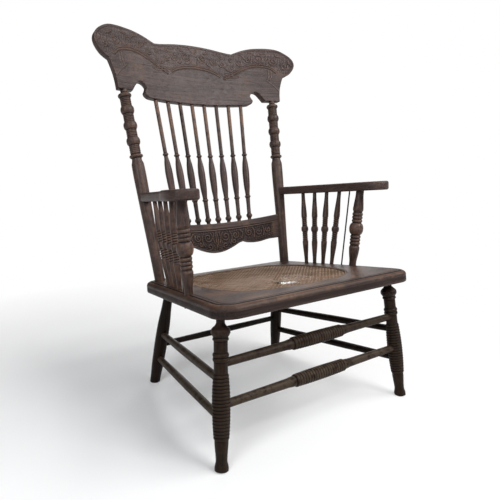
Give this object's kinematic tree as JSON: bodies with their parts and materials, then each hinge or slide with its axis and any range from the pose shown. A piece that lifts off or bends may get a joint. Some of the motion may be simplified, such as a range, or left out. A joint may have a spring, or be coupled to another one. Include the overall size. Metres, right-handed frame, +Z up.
{
  "type": "spindle back armchair",
  "caption": "Wide, low armchair with a caned seat, turned legs and posts, turned spindles in back and arms, and a bowed, carved crest rail.",
  "frame": {"origin": "on the floor, below the middle of the chair's box", "axes": "+Z up, the chair faces -Y, +X is the right-hand side as seen by someone facing the chair"},
  "size_m": [0.7046, 0.6578, 1.0358],
  "materials": {
    "oak": "dark stained, worn semi-gloss",
    "dowel_wood": "bare",
    "cane": "aged satin",
    "steel": "dulled"
  },
  "bodies": {
    "root": {"crest_rail": "oak", "lower_back_rail": "oak", "back_post_left": "oak", "back_post_right": "oak", "back_spindle_1": "oak", "back_spindle_2": "oak", "back_spindle_3": "oak", "back_spindle_4": "oak", "back_spindle_5": "oak", "back_spindle_6": "oak", "back_spindle_7": "oak", "back_spindle_8": "oak", "arm_left": "oak", "arm_right": "oak", "arm_post_left": "oak", "arm_post_right": "oak", "arm_spindle_left_1": "oak", "arm_spindle_left_2": "oak", "arm_spindle_left_3": "oak", "arm_spindle_left_4": "oak", "arm_spindle_right_1": "oak", "arm_spindle_right_2": "oak", "arm_spindle_right_3": "oak", "arm_spindle_right_4": "oak", "seat_front_rail": "oak", "seat_rear_rail": "oak", "seat_left_rail": "oak", "seat_right_rail": "oak", "front_leg_left": "oak", "front_leg_right": "oak", "rear_leg_left": "oak", "rear_leg_right": "oak", "front_stretcher_upper": "oak", "front_stretcher_lower": "oak", "side_stretcher_left_upper": "oak", "side_stretcher_left_lower": "oak", "side_stretcher_right_upper": "oak", "side_stretcher_right_lower": "oak", "rear_stretcher": "oak", "dowel_front_left_outer": "dowel_wood", "dowel_front_left_inner": "dowel_wood", "dowel_front_right_outer": "dowel_wood", "dowel_front_right_inner": "dowel_wood", "dowel_rear_left_outer": "dowel_wood", "dowel_rear_left_inner": "dowel_wood", "dowel_rear_right_outer": "dowel_wood", "dowel_rear_right_inner": "dowel_wood", "cane_panel": "cane", "cane_spline": "cane", "arm_tie_rod_left": "steel", "arm_tie_rod_right": "steel", "tie_rod_nut_left": "steel", "tie_rod_nut_right": "steel", "arm_screw_left": "steel", "arm_screw_right": "steel"}
  },
  "joints": []
}
